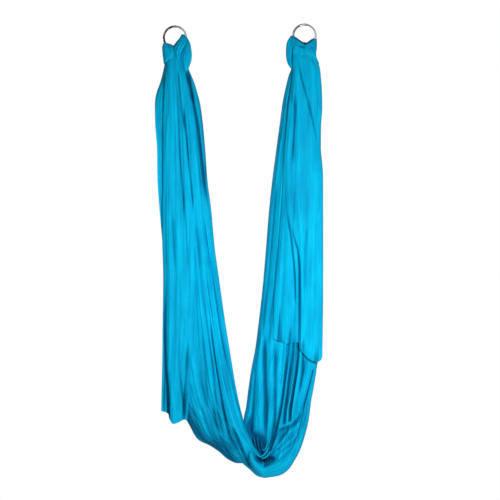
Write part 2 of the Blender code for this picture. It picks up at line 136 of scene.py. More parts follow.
# A fold is a line of pixels with its greatest depth in mm and half its width in pixels; its
# upper and its lower end fade over shares of its length
MM = 0.001
MM_IN_A_METRE = 1000
Fold = namedtuple("Fold", "depth width points sharpness upper_end lower_end")
# A fold as deep as this, in metres, gets the full painted shade of a hollow
FOLD_DEPTH_FOR_FULL_SHADE = 0.012
# Points nearer to each other than this, in metres, become one
MERGE_DISTANCE = 1e-5

# Random pleats: waves of three counts with their shares, where waves start, how they drift along the
# cloth and how they bend across it
PLEAT_WAVES = ((1.0, 0.5), (1.73, 0.3), (2.9, 0.2))
DRIFT_TURNS = (0.7, 1.9)
WAVE_START = (0, 6)
DRIFT = 2
BEND = 0.6
BEND_TURNS = 1.3
BEND_LEAN = 2.2
CALM = 0.35
# Layers of pleats: count against the stretch's own, share, step of the seed, wander
FRONT_LAYERS = ((1.0, 1.0, 0, CALM), (3.1, 0.35, 5, CALM), (7.3, 0.20, 7, CALM))
BACK_LAYERS = ((1.0, 1.0, 9, 0.6), (3.1, 0.3, 14, CALM))

# A gathered stretch: what counts at least between two of its stations, how its pleats shrink
# with its width, and its back and inner layers
LEAST_STEP_PX = 1.0
NARROW_RANGE = (0.15, 1.2)
BACK_MIDDLE = 0.5
BACK_SWING = 0.6
BACK_LIMIT = 1.3
BACK_FOLD_SHADE = 0.7
INNER_SPAN = (0.08, 0.92)
INNER_LEAST_ROOM = 0.001
INNER_FORWARD = 0.35
INNER_FILL = 0.62
INNER_LAYER_SHADE = 0.6

# A flat band of a knot: rows, columns, roundness and the strength of its painted shade
PATCH_ROWS = 60
PATCH_COLUMNS = 80
PATCH_EASE = 0.8
PATCH_ROUND = 2.6
PATCH_END_ROUND = 10
PATCH_EDGE = 6
PATCH_RUN = 0.4
PATCH_WANDER = 0.2
PATCH_RIPPLE_SHADE = 0.35
# Its own cloth: metres across it and where they start
PATCH_ACROSS = 0.3
PATCH_FROM = 0.6
# A round band of a knot: its ripples' height, share of the second wave, lean and painted shade in its
# ripples
BAND_RIPPLE = 0.10
SECOND_WAVE = 0.5
WAVE_LEANS = (1.5, 2)
BAND_RIPPLE_SHADE = 0.3
END_SWELL = 0.4
MIDDLE_SWELL = 0.6

PARTS = bpy.data.collections.new("hammock_looks")
bpy.context.scene.collection.children.link(PARTS)


# Kinds of fold: grooves and slits go away from the viewer and ridges come forward

def groove(depth, width, *points):
    return Fold(depth, width, points, sharpness=1.5, upper_end=0.22, lower_end=0.22)


def slit(depth, width, *points):
    """A sharp groove whose lower end stays open."""
    return Fold(depth, width, points, sharpness=2.0, upper_end=0.38, lower_end=0.03)


def ridge(height, width, *points):
    return Fold(-height, width, points, sharpness=2.0, upper_end=0.22, lower_end=0.22)


# Number helpers

def smoothstep(value, low, high):
    part = np.clip((value - low) / (high - low), 0, 1)
    return part * part * (3 - 2 * part)


def ease_through(knots, values, at):
    """Smooth curve through the knots without overshoot (monotone cubic)."""
    knots, values, at = (np.asarray(x, float) for x in (knots, values, at))
    step = np.diff(knots)
    slope = np.diff(values) / step
    tangent = np.zeros(len(knots))
    tangent[0], tangent[-1] = slope[0], slope[-1]
    for i in range(1, len(knots) - 1):
        if slope[i - 1] * slope[i] > 0:
            weight_a, weight_b = 2 * step[i] + step[i - 1], step[i] + 2 * step[i - 1]
            tangent[i] = (weight_a + weight_b) / (weight_a / slope[i - 1] + weight_b / slope[i])
    index = np.clip(np.searchsorted(knots, at) - 1, 0, len(step) - 1)
    t = np.clip((at - knots[index]) / step[index], 0, 1)
    h = step[index]
    return (
        (2 * t**3 - 3 * t**2 + 1) * values[index]
        + (t**3 - 2 * t**2 + t) * h * tangent[index]
        + (-2 * t**3 + 3 * t**2) * values[index + 1]
        + (t**3 - t**2) * h * tangent[index + 1]
    )


def eased_shares(count, ease):
    """Shares from 0 to 1 that crowd towards both ends, the more so the nearer ease is to 1."""
    turn = np.linspace(0, math.pi, count)[None, :]
    return (1 - np.cos(turn)) / 2 * ease + (1 - ease) * turn / math.pi


def place(px, py, depth):
    """Metres for a point seen at a pixel of the photograph and lying at a depth."""
    near = (CAMERA_DISTANCE + depth) / CAMERA_DISTANCE
    x = VIEW_X + (px - CENTRE_PX[0]) * METRES_PER_PIXEL * near
    z = VIEW_Z - (py - CENTRE_PX[1]) * METRES_PER_PIXEL * near
    return np.stack([x, depth + np.zeros_like(x), z], axis=-1)


def pleats(across, along, count, seed, wander):
    """Soft irregular pleats from -1 to 1 that keep their place along the cloth."""
    random = np.random.default_rng(seed)
    total = np.zeros(np.broadcast(across, along).shape)
    for finer, share in PLEAT_WAVES:
        phase = random.uniform(0, 2 * math.pi)
        turns = random.uniform(*DRIFT_TURNS)
        drift = wander * np.sin(2 * math.pi * along * turns + random.uniform(*WAVE_START))
        bend_at = 2 * math.pi * across * BEND_TURNS + random.uniform(*WAVE_START) + BEND_LEAN * along
        bend = BEND * np.sin(bend_at)
        total += share * np.sin(2 * math.pi * count * finer * across + phase + drift * DRIFT + bend)
    return total


def layered_pleats(across, along, count, seed, layers):
    """Pleats of several counts on top of each other."""
    return sum(
        share * pleats(across, along, count * finer, seed + step, wander)
        for finer, share, step, wander in layers
    )


def line_gap(px, py, points):
    """Signed distance from a smooth line through the points, and the share run along it."""
    points = np.array(points, float)
    spread = np.ptp(points, axis=0)
    if spread[1] >= spread[0]:
        run, beside, knots, values = py, px, points[:, 1], points[:, 0]
    else:
        run, beside, knots, values = px, py, points[:, 0], points[:, 1]
    order = np.argsort(knots)
    knots, values = knots[order], values[order]
    held = np.clip(run, knots[0], knots[-1])
    centre = ease_through(knots, values, held)
    slope = ease_through(knots, values, np.clip(held + 1, knots[0], knots[-1])) - centre
    gap = (beside - centre) / np.sqrt(1 + slope**2)
    return gap, (held - knots[0]) / (knots[-1] - knots[0])


def fold_depths(px, py, folds, dents):
    """Depth added by folds and dents: positive away from the viewer."""
    px, py = px + 0 * py, py + 0 * px
    total = np.zeros(px.shape)
    for fold in folds:
        gap, share = line_gap(px, py, fold.points)
        fade = smoothstep(share, 0, fold.upper_end) * smoothstep(1 - share, 0, fold.lower_end)
        total += fold.depth * MM * fade * np.exp(-(np.abs(gap / fold.width) ** fold.sharpness))
    for depth, x, y, half_width, half_height in dents:
        reach = ((px - x) / half_width) ** 2 + ((py - y) / half_height) ** 2
        total += depth * MM * np.exp(-reach)
    return total


# Mesh helpers

def grid_faces(rows, columns, first):
    """Quads of a grid whose points start at index first."""
    corner = first + np.arange(rows - 1)[:, None] * columns + np.arange(columns - 1)[None, :]
    corner = corner.reshape(-1)
    return np.stack([corner, corner + columns, corner + columns + 1, corner + 1], axis=1)


def cloth_grid(px, py, depth, across, along, fold_shade):
    """One grid of cloth: its points, the cloth's own metres, and how much painted shade it gets in a fold.
    """
    return place(px, py, depth), across + 0 * along, along + 0 * across, fold_shade


def smooth_object(name, mesh, material, mend):
    """An object of a mesh that mend() has cleaned, shaded smooth."""
    body = bmesh.new()
    body.from_mesh(mesh)
    mend(body)
    body.to_mesh(mesh)
    body.free()
    mesh.shade_smooth()
    mesh.materials.append(material)
    thing = bpy.data.objects.new(name, mesh)
    PARTS.objects.link(thing)
    return thing


def cloth_object(name, grids, material):
    """One object from grids of (points, across, along, fold_shade).

    across and along are the cloth's own metres, kept as UVs; fold_shade is painted shade from 0 to 1, kept
    as a point attribute, which darkens the colour where the cloth lies in a fold.
    """
    points, faces, texture, depths = [], [], [], []
    first = 0
    for grid, across, along, fold_shade in grids:
        rows, columns = grid.shape[:2]
        points.append(grid.reshape(-1, 3))
        depths.append(np.clip(fold_shade, 0, 1).reshape(-1))
        texture.append(np.stack([across.reshape(-1), along.reshape(-1)], axis=1))
        faces.append(grid_faces(rows, columns, first))
        first += rows * columns
    points, faces, texture = np.concatenate(points), np.concatenate(faces), np.concatenate(texture)
    mesh = bpy.data.meshes.new(name)
    mesh.from_pydata(points.tolist(), [], faces.tolist())
    shade = mesh.attributes.new("fold_shade", "FLOAT", "POINT")
    shade.data.foreach_set("value", np.concatenate(depths).astype(np.float32))
    layer = mesh.uv_layers.new(name="cloth")
    layer.data.foreach_set("uv", texture[faces.reshape(-1)].astype(np.float32).reshape(-1))
    return smooth_object(
        name, mesh, material,
        lambda body: bmesh.ops.remove_doubles(body, verts=body.verts, dist=MERGE_DISTANCE),
    )


# Gathered stretches of cloth

def stations(table, rows):
    """Each column of a table of stations at even steps along it, and the share run."""
    table = np.array(table, float)
    table[:, 4:] /= MM_IN_A_METRE
    middle = (table[:, 0:2] + table[:, 2:4]) / 2
    run = np.concatenate([[0], np.cumsum(np.hypot(*np.diff(middle, axis=0).T) + LEAST_STEP_PX)])
    at = np.linspace(0, run[-1], rows)
    columns = [ease_through(run, table[:, k], at)[:, None] for k in range(table.shape[1])]
    return columns, (at / run[-1])[:, None]


def across_stretch(columns, along, spec, s):
    """Pixels, roundness, fade at the edges and depth of the edges at shares s across."""
    outer_x, outer_y, inner_x, inner_y, _, _, outer_edge, inner_edge = columns
    px = outer_x + s * (inner_x - outer_x)
    py = outer_y + s * (inner_y - outer_y)
    if "hem" in spec:
        shares, heights = zip(*spec["hem"])
        py = outer_y[0] + (ease_through(shares, heights, s) - outer_y[0]) * along
    bulge = (1 - np.abs(2 * s - 1) ** spec["round"]) ** 0.5
    window = np.clip(np.minimum(s, 1 - s) * spec["edge_sharpness"], 0, 1)
    edge = outer_edge + s * (inner_edge - outer_edge)
    return px, py, bulge, window, edge


def front_layer(columns, along, narrow, folds, dents, spec):
    """The side that the photograph shows, with its drawn folds and random pleats."""
    s = eased_shares(spec["front_columns"], spec["ease"])
    px, py, bulge, window, edge = across_stretch(columns, along, spec, s)
    soft = layered_pleats(s, along, spec["front_count"], spec["seed"], FRONT_LAYERS)
    pleated = spec["front_pleat"] * narrow * soft * window
    folded = fold_depths(px, py, folds, dents)
    front = columns[4]
    depth = edge + (front - edge) * bulge + pleated + folded * window
    # Painted shade: the deeper a point lies in a pleat, fold or dent, the darker its colour
    fold_shade = (pleated + folded) / FOLD_DEPTH_FOR_FULL_SHADE
    return cloth_grid(px, py, depth, s * CLOTH_WIDTH / 2, along * spec["length"], fold_shade)


def back_layer(columns, along, narrow, spec):
    """The side away from the viewer, in deep even pleats."""
    s = np.linspace(0, 1, spec["back_columns"])[None, :]
    px, py, bulge, window, edge = across_stretch(columns, along, spec, s)
    folds = layered_pleats(s, along, spec["back_count"], spec["seed"], BACK_LAYERS)
    folds = np.clip(BACK_MIDDLE + BACK_SWING * folds, 0, BACK_LIMIT) * window
    back = columns[5]
    depth = edge + (back - edge) * bulge - spec["back_pleat"] * narrow * folds
    across = (1 + s) * CLOTH_WIDTH / 2
    # Painted shade in the deep pleats of the back layer
    return cloth_grid(px, py, depth, across, along * spec["length"], BACK_FOLD_SHADE * folds**2)


def inner_layer(columns, along, narrow, spec):
    """The cloth gathered up between front and back, in a zigzag."""
    s = np.linspace(*INNER_SPAN, spec["inner_columns"])[None, :]
    px, py, bulge, _, edge = across_stretch(columns, along, spec, s)
    front, back = columns[4:6]
    zigzag = 1 - 4 * np.abs((spec["inner_count"] * s) % 1 - 0.5)
    room = np.clip((back - front) / 2 * bulge - spec["inner_clear"], INNER_LEAST_ROOM, None)
    depth = edge + ((front + back) / 2 - edge) * bulge - INNER_FORWARD * spec["back_pleat"] * narrow
    depth = depth + room * INNER_FILL * zigzag
    # The inner layer gets an even painted shade
    return cloth_grid(px, py, depth, s * CLOTH_WIDTH, along * spec["length"], INNER_LAYER_SHADE + 0 * depth)


def gathered(table, folds, dents, spec):
    """Grids of one stretch of cloth from its stations, folds and dents."""
    columns, along = stations(table, spec["rows"])
    outer_x, outer_y, inner_x, inner_y = columns[:4]
    wide = np.hypot(inner_x - outer_x, inner_y - outer_y)
    narrow = np.clip(wide / spec["full_px"], *NARROW_RANGE)
    grids = [
        front_layer(columns, along, narrow, folds, dents, spec),
        back_layer(columns, along, narrow, spec),
    ]
    if spec["inner_count"]:
        grids.append(inner_layer(columns, along, narrow, spec))
    return grids


# Bands of the knots

def knot_patch(rows_table, seed, pleat_count, pleat, rim_shade):
    """A flattened band of the knot, rounded off at its sides and ends.

    Rows are (edge x, edge y, edge x, edge y, front, back) across the band, from one
    end of it to the other, places in pixels and depths in mm.
    """
    columns, along = stations(rows_table, PATCH_ROWS)
    ax, ay, bx, by, front, back = columns
    ends = (1 - np.abs(2 * along - 1) ** PATCH_END_ROUND) ** 0.5
    s = eased_shares(PATCH_COLUMNS, PATCH_EASE)
    bulge = (1 - np.abs(2 * s - 1) ** PATCH_ROUND) ** 0.5
    middle = (front + back) / 2
    ripple = pleats(s, along * PATCH_RUN, pleat_count, seed, PATCH_WANDER)
    ripple = ripple * np.clip(np.minimum(s, 1 - s) * PATCH_EDGE, 0, 1)
    px, py = ax + s * (bx - ax), ay + s * (by - ay)
    grids = []
    for side, near in ((front, 1.0), (back, -1.0)):
        depth = middle + (side - middle) * bulge * ends + near * pleat * ripple
        # Painted shade in the ripples' hollows and towards the band's sides and ends
        fold_shade = PATCH_RIPPLE_SHADE * near * ripple + rim_shade * (1 - bulge * ends)
        across = (s + near) * PATCH_ACROSS + PATCH_FROM
        grids.append(cloth_grid(px, py, depth, across, along * KNOT_BAND_LENGTH, fold_shade))
    return grids


def band(path, pleat_count, seed, rows, columns, shade):
    """A round band of the knot: path rows are (x, y, half width, half depth, depth), in pixels."""
    path = np.array(path, float)
    run = np.concatenate([[0], np.cumsum(np.hypot(*np.diff(path[:, :2], axis=0).T))])
    at = np.linspace(0, run[-1], rows)
    x, y, wide, deep, depth = (ease_through(run, path[:, k], at)[:, None] for k in range(5))
    tangent = np.stack([np.gradient(x[:, 0]), np.gradient(y[:, 0])], axis=1)
    tangent /= np.linalg.norm(tangent, axis=1)[:, None]
    random = np.random.default_rng(seed)
    theta = np.linspace(0, 2 * math.pi, columns)[None, :]
    along = (at / run[-1])[:, None]
    first_start, second_start = random.uniform(*WAVE_START, 2)
    first_lean, second_lean = WAVE_LEANS
    ripple = np.sin(pleat_count * theta + first_start + first_lean * along)
    second = np.sin((pleat_count * 2 - 1) * theta + second_start - second_lean * along)
    ripple = ripple + SECOND_WAVE * second
    swell = 1 + BAND_RIPPLE * ripple * (END_SWELL + MIDDLE_SWELL * np.sin(math.pi * along))
    px = x - tangent[:, 1:] * wide * np.cos(theta) * swell
    py = y + tangent[:, :1] * wide * np.cos(theta) * swell
    metres = (depth - deep * np.sin(theta) * swell) * METRES_PER_PIXEL
    across = theta / (2 * math.pi) * CLOTH_WIDTH
    # Painted shade: the band's own shade, darker in the hollows of its ripples
    return cloth_grid(px, py, metres, across, along * KNOT_BAND_LENGTH, shade - BAND_RIPPLE_SHADE * ripple)


def knot_grids(patches, core, shadow, seed, rim_shade):
    """A knot: its core in painted shade, the painted shadow line along its top and the bands over them."""
    grids = [band(core, seed=seed, **CORE_BAND), band(shadow, seed=seed + 1, **SHADOW_BAND)]
    for index, rows_table in enumerate(patches):
        grids += knot_patch(rows_table, seed + 3 * index, rim_shade=rim_shade, **KNOT_PATCH)
    return grids


# Materials

def feed(tree, node, inputs):
    """Set a node's inputs to plain values or wire them to the sockets given."""
    for name, value in inputs.items():
        if isinstance(value, bpy.types.NodeSocket):
            tree.links.new(value, node.inputs[name])
        else:
            node.inputs[name].default_value = value


def new_node(tree, kind, inputs, **settings):
    node = tree.nodes.new(kind)
    for name, value in settings.items():
        setattr(node, name, value)
    feed(tree, node, inputs)
    return node


def node_material(name, surface):
    """A material, its tree and its shader with the surface's values."""
    material = bpy.data.materials.new(name)
    material.use_nodes = True
    tree = material.node_tree
    shader = tree.nodes["Principled BSDF"]
    feed(tree, shader, surface)
    return material, tree, shader


def maths(tree, operation, *terms):
    """A sum, product or greatest of sockets and plain numbers."""
    node = new_node(tree, "ShaderNodeMath", dict(enumerate(terms)), operation=operation)
    return node.outputs["Value"]


def noise(tree, where, values):
    return new_node(tree, "ShaderNodeTexNoise", dict(values, Vector=where)).outputs["Fac"]


def cloth_noise(tree, uv, spots):
    """Noise that lies in the cloth, from its spots to the metre and its detail."""
    scale, detail = spots
    mapping = new_node(tree, "ShaderNodeMapping", {"Vector": uv, "Scale": scale})
    values = {"Scale": 1.0, "Detail": detail, "Roughness": CLOTH_NOISE_ROUGHNESS}
    return noise(tree, mapping.outputs["Vector"], values)


def shades(tree, share, stops):
    """A colour between two stops of (position, colour)."""
    ramp = new_node(tree, "ShaderNodeValToRGB", {"Fac": share})
    for element, (position, colour) in zip(ramp.color_ramp.elements, stops):
        element.position = position
        element.color = colour
    return ramp.outputs["Color"]


def relief(tree, height, size, under=None):
    """Fine relief of a strength and a height, over other relief where there is some."""
    strength, distance = size
    inputs = {"Strength": strength, "Distance": distance, "Height": height}
    if under is not None:
        inputs["Normal"] = under
    return new_node(tree, "ShaderNodeBump", inputs).outputs["Normal"]


def darkened_in_folds(tree, colour):
    """The colour, darkened by painted shade where the cloth lies deep in a fold."""
    fold_shade = new_node(tree, "ShaderNodeAttribute", {}, attribute_name="fold_shade")
    inputs = {"Factor": fold_shade.outputs["Fac"], "A": colour, "B": FOLD_SHADE_COLOUR}
    deep = new_node(tree, "ShaderNodeMix", inputs, data_type="RGBA", blend_type="MULTIPLY")
    return deep.outputs["Result"]


def knit_height(tree, uv):
    """Ribs along the cloth with small loops between them."""
    inputs = dict(KNIT_RIBS, Vector=uv)
    ribs = new_node(tree, "ShaderNodeTexWave", inputs, wave_type="BANDS", bands_direction="X")
    loops = cloth_noise(tree, uv, KNIT_LOOPS)
    return maths(tree, "MULTIPLY_ADD", ribs.outputs["Fac"], HALF, loops)


def cloth_material():
    """Matt nylon knit: deep cyan, faint sheen, fine ribs, soft long streaks and painted shade in its folds.
    """
    material, tree, shader = node_material("blue_knit", CLOTH_SURFACE)
    uv = new_node(tree, "ShaderNodeUVMap", {}, uv_map="cloth").outputs["UV"]
    streaks = cloth_noise(tree, uv, STREAKS)
    blotches = maths(tree, "MULTIPLY", cloth_noise(tree, uv, BLOTCHES), HALF)
    mottling = maths(tree, "MULTIPLY_ADD", streaks, HALF, blotches)
    colour = darkened_in_folds(tree, shades(tree, mottling, CLOTH_SHADES))
    knit = relief(tree, knit_height(tree, uv), KNIT_RELIEF)
    creased = relief(tree, streaks, STREAK_RELIEF, knit)
    crinkled = relief(tree, cloth_noise(tree, uv, CRINKLES), CRINKLE_RELIEF, creased)
    feed(tree, shader, {"Base Color": colour, "Normal": crinkled})
    return material


def steel_material():
    """Polished steel bar with fine drawing marks, a little random tarnish and painted reflection."""
    material, tree, shader = node_material("polished_ring_steel", {"Metallic": 1.0})
    where = new_node(tree, "ShaderNodeTexCoord", {}).outputs
    inputs = {0: where["Generated"], 1: PAINTED_REFLECTION_WAY}
    across = new_node(tree, "ShaderNodeVectorMath", inputs, operation="DOT_PRODUCT")
    # Painted reflection: darker towards the upper left of each ring, paler towards the right and bottom,
    # with random tarnish over it
    tarnish_and_painted_reflection = maths(tree, "ADD", across.outputs["Value"], noise(tree, where["Object"], TARNISH))
    marks = noise(tree, where["Object"], DRAWING_MARKS)
    rough = new_node(tree, "ShaderNodeMapRange", dict(STEEL_ROUGHNESS, Value=marks))
    feed(tree, shader, {
        "Base Color": shades(tree, tarnish_and_painted_reflection, STEEL_SHADES),
        "Roughness": rough.outputs["Result"],
        "Normal": relief(tree, marks, STEEL_RELIEF),
    })
    return material


# Rings

def welded_ring(name, centre, weld_degrees, material):
    """A ring of round bar with its weld bead, a shade out of round at the weld."""
    around = np.linspace(0, 2 * math.pi, RING_STEPS, endpoint=False)[:, None]
    section = np.linspace(0, 2 * math.pi, RING_SIDES, endpoint=False)[None, :]
    away = np.abs((around - math.radians(weld_degrees) + math.pi) % (2 * math.pi) - math.pi)
    bead = np.exp(-((away / BEAD_REACH) ** 2)) * (BEAD_HEIGHT + BEAD_RIPPLE * np.sin(section * BEAD_RIPPLES))
    bar = RING_BAR * (1 + bead - SINK_DEPTH * np.exp(-((away / SINK_REACH) ** 2)))
    reach = RING_MEAN + bar * np.cos(section)
    points = np.stack(
        [
            centre.x + reach * np.sin(around),
            centre.y + bar * np.sin(section) + 0 * around,
            centre.z - reach * np.cos(around),
        ],
        axis=-1,
    ).reshape(-1, 3)
    here = np.arange(RING_STEPS * RING_SIDES).reshape(RING_STEPS, RING_SIDES)
    onward = np.roll(here, -1, axis=0)
    corners = [here, onward, np.roll(onward, -1, axis=1), np.roll(here, -1, axis=1)]
    mesh = bpy.data.meshes.new(name)
    mesh.from_pydata(points.tolist(), [], np.stack(corners, axis=-1).reshape(-1, 4).tolist())
    return smooth_object(
        name, mesh, material,
        lambda body: bmesh.ops.recalc_face_normals(body, faces=body.faces),
    )


# Stations along each stretch, read off the photograph: (outer x, outer y, inner x, inner y,
# front, back, outer edge, inner edge), places in pixels and depths in mm
LEFT_SLING_STATIONS = [
    (167, 54, 183, 54, -18, 18, 0, 0),
    (165.5, 60, 185, 60, -22, 26, 0, 0),
    (163.8, 68, 187.8, 67, -26, 36, 2, 2),
    (162.5, 74, 190.8, 74, -31, 42, 3, 3),
    (160, 83, 194.5, 83, -38, 48, -12, 4),
    (156.5, 93, 197.5, 93, -44, 52, -20, 0),
    (154.8, 104, 200, 103, -47, 55, -34, -4),
    (155, 120, 202.5, 120, -50, 58, -44, -6),
    (157, 150, 205.3, 150, -50, 60, -53, -6),
    (157.5, 180, 207.5, 180, -50, 62, -58, -6),
    (159.5, 210, 211.3, 210, -50, 64, -56, -6),
    (162.5, 245, 214.5, 245, -49, 66, -42, -14),
    (164, 280, 219.3, 280, -50, 68, -20, -22),
    (164.5, 315, 224.2, 315, -51, 69, 8, -22),
    (165, 350, 229.8, 350, -52, 70, 8, -22),
    (168, 380, 234.5, 379, -53, 70, 8, -20),
    (174, 402, 238.8, 401, -55, 70, 8, -16),
    (187.5, 422, 243.2, 419, -58, 62, 10, -12),
    (198.5, 440, 246.3, 429.5, -60, 45, 8, -6),
    (209.5, 445.5, 248.7, 435.5, -62, 30, 0, -10),
    (218, 451, 251.2, 440.5, -62, 20, -6, -12),
    (229, 460, 253.6, 445, -61, 12, -12, -10),
    (237, 463.2, 255.8, 448.5, -60, 6, -18, -4),
    (243, 463.4, 258.4, 451.8, -58, 0, -22, 2),
    (250.5, 470.4, 260.8, 454.6, -56, -4, -26, 8),
    (257, 476, 262.6, 458, -52, -6, -28, 10),
    (261.5, 477.6, 264.5, 463, -46, -8, -28, 4),
]

RIGHT_SLING_STATIONS = [
    (313, 54, 295, 54, -18, 18, 0, 0),
    (315.5, 60, 293, 61, -22, 26, 0, 0),
    (319, 67, 291.5, 68, -26, 36, 2, 2),
    (320.8, 76, 288.5, 76, -31, 42, 3, 3),
    (321.8, 88, 285.5, 88, -36, 48, 4, 4),
    (322.2, 101, 282.8, 101, -40, 54, 5, 5),
    (321, 125, 279.5, 125, -43, 58, 6, 6),
    (320.8, 145, 276.8, 145, -45, 60, 6, 6),
    (323, 175, 272.8, 175, -46, 62, 6, 6),
    (323, 210, 269, 210, -47, 64, 6, 6),
    (323, 250, 265.8, 250, -47, 66, 6, 6),
    (323, 290, 262.3, 290, -47, 68, 6, 6),
    (322, 325, 258.3, 325, -47, 70, 6, 6),
    (319.6, 350, 255, 350, -47, 70, 6, 6),
    (316.8, 368, 251.3, 369, -47, 70, 6, 6),
    (313.2, 388, 248.2, 390, -46, 70, 4, 6),
    (310.5, 404, 246, 407, -45, 70, 0, 6),
    (308.3, 420, 243.6, 420, -44, 68, 0, 6),
    (304.5, 436, 245.5, 432, -43, 66, 0, 6),
    (299.3, 450.5, 248.5, 443, -42, 62, 0, 6),
    (294, 460, 252, 450, -41, 58, 0, 6),
    (289.5, 467.6, 255, 455, -41, 54, 0, 6),
    (281, 474, 257.5, 459.5, -41, 50, 0, 6),
    (270, 476.2, 258, 463, -41, 46, 0, 6),
    (261.5, 477.2, 255.5, 464, -38, 42, 0, 4),
    (252, 471.2, 250, 463, -32, 36, 0, 2),
    (243, 464, 242.5, 461, -24, 28, 0, 0),
]

# The outer fold of the seat: from the lip of the pocket round the bottom and up the right edge
SEAT_FOLD_STATIONS = [
    (250, 451.8, 251.4, 451.8, -64, -40, -56, -56),
    (248.4, 454.2, 252.8, 454, -78, -40, -60, -58),
    (249.8, 460.4, 254.2, 458.6, -84, -40, -62, -60),
    (253.2, 467.2, 257.6, 462.6, -86, -40, -62, -62),
    (258.2, 473, 261.8, 465.8, -86, -38, -58, -62),
    (263.8, 478, 264.8, 467.2, -84, -34, -50, -60),
    (271, 477.2, 269, 465.6, -80, -30, -44, -54),
    (279.8, 475.4, 275.5, 462.2, -75, -26, -40, -48),
    (287.8, 470.3, 283, 457, -68, -24, -36, -44),
    (294.8, 460.3, 290, 449.5, -65, -22, -34, -44),
    (300, 450.4, 295.5, 440, -62, -22, -34, -44),
    (304.8, 436.2, 299.5, 428.5, -60, -22, -32, -44),
    (308.9, 419.2, 302.5, 415, -58, -22, -32, -44),
    (311, 402.5, 306, 400, -56, -22, -32, -44),
    (314, 386, 310, 384, -54, -22, -32, -44),
    (316.6, 371, 313.6, 369, -53, -22, -32, -46),
]

# Folds are kind(depth, half width, *points) and dents are rows of (depth, x, y, half width,
# half height): broad soft hollows, or swellings where the depth is below zero
# The depth of grooves, slits and hollows also darkens the cloth's colour as painted shade
LEFT_SLING_FOLDS = [
    groove(14, 1.4, (186, 62), (192, 96), (197, 124), (204, 180), (211, 222)),
    groove(
        7, 0.6, (200, 190), (206.5, 240), (210.9, 270), (215, 295),
        (220.2, 330), (226.4, 362), (236, 400), (250, 438),
    ),
    groove(2, 1.3, (163, 66), (162, 100), (161.5, 140), (162, 200)),
    groove(
        6, 0.7, (191, 189), (194, 215), (197.5, 245), (200.5, 282),
        (206, 320), (212, 364), (217, 408), (228, 455),
    ),
    groove(11, 0.7, (208, 306), (212, 338), (217, 372), (222.5, 404), (229, 434), (238, 458)),
    groove(4, 1.3, (187, 196), (194, 268), (198, 340), (205, 400), (218, 450)),
    groove(4, 1.2, (200, 330), (205, 372), (208, 415)),
    groove(4, 1.2, (182, 330), (188, 385), (198, 428), (205, 445)),
    groove(3, 0.8, (200.6, 202), (205, 232), (208.7, 257), (212, 290)),
    groove(7, 1.4, (226, 426), (234, 444), (247, 468)),
    groove(14, 1.4, (231, 424), (240, 445), (246, 459), (253, 471)),
    groove(11, 5.5, (174, 372), (181, 398), (190, 420), (203, 438), (220, 452), (236, 462), (250, 478)),
    groove(9, 1.6, (185.5, 66), (188, 78), (190.5, 90), (193, 104)),
    groove(4, 0.8, (188, 84), (194, 124), (199, 168), (203, 204)),
    groove(3, 0.8, (184, 410), (195, 432), (210, 446)),
    groove(4, 0.8, (194, 384), (201, 410), (213, 434), (230, 456)),
    groove(4, 0.8, (216, 384), (224, 414), (236, 442), (247, 458)),
    groove(5, 0.6, (203, 255), (208, 292), (214, 328), (221, 366), (230, 404)),
    groove(9, 1.8, (197, 90), (202, 120), (204.5, 150), (206.5, 190)),
    groove(6, 1.0, (212, 400), (216, 424), (226, 450), (236, 466)),
    groove(5, 1.0, (200, 400), (206, 424), (214, 440), (224, 456)),
    groove(7, 0.6, (213, 268), (219, 304), (224.5, 340), (232, 380), (241, 414), (252, 442)),
    ridge(5, 2.0, (184, 70), (195, 160), (204, 236), (212, 312), (225, 388), (234, 424), (246, 458)),
    ridge(4, 2.4, (181, 100), (188, 180), (202, 316), (211, 384), (224, 452)),
    ridge(5, 1.6, (206, 205), (213, 262), (222, 325), (232, 385), (243, 432)),
    ridge(4, 1.8, (179, 66), (187, 120), (192, 168), (202, 264), (207, 315)),
    ridge(5, 2.8, (190, 345), (194, 380), (204, 428), (209, 446)),
    ridge(5, 1.3, (195, 92), (199, 116), (203, 145), (206, 175)),
    ridge(4, 1.4, (213, 350), (218, 388), (227, 448)),
]
LEFT_SLING_DENTS = [
    (6, 181, 385, 6, 30), (8, 222, 446, 10, 9), (9, 252, 456, 4, 7), (10, 188.5, 77, 2.4, 6),
    (24, 260.5, 459.5, 4.6, 4), (7, 216, 418, 9, 16), (4, 246, 430, 6, 12),
    (-9, 203, 262, 13, 44), (-4, 215, 315, 8, 26), (3.6, 202, 174, 6, 30), (4, 229, 426, 13, 20),
    (5, 232, 448, 7, 8), (6, 226, 380, 13, 24), (4, 202, 384, 9, 26),
]

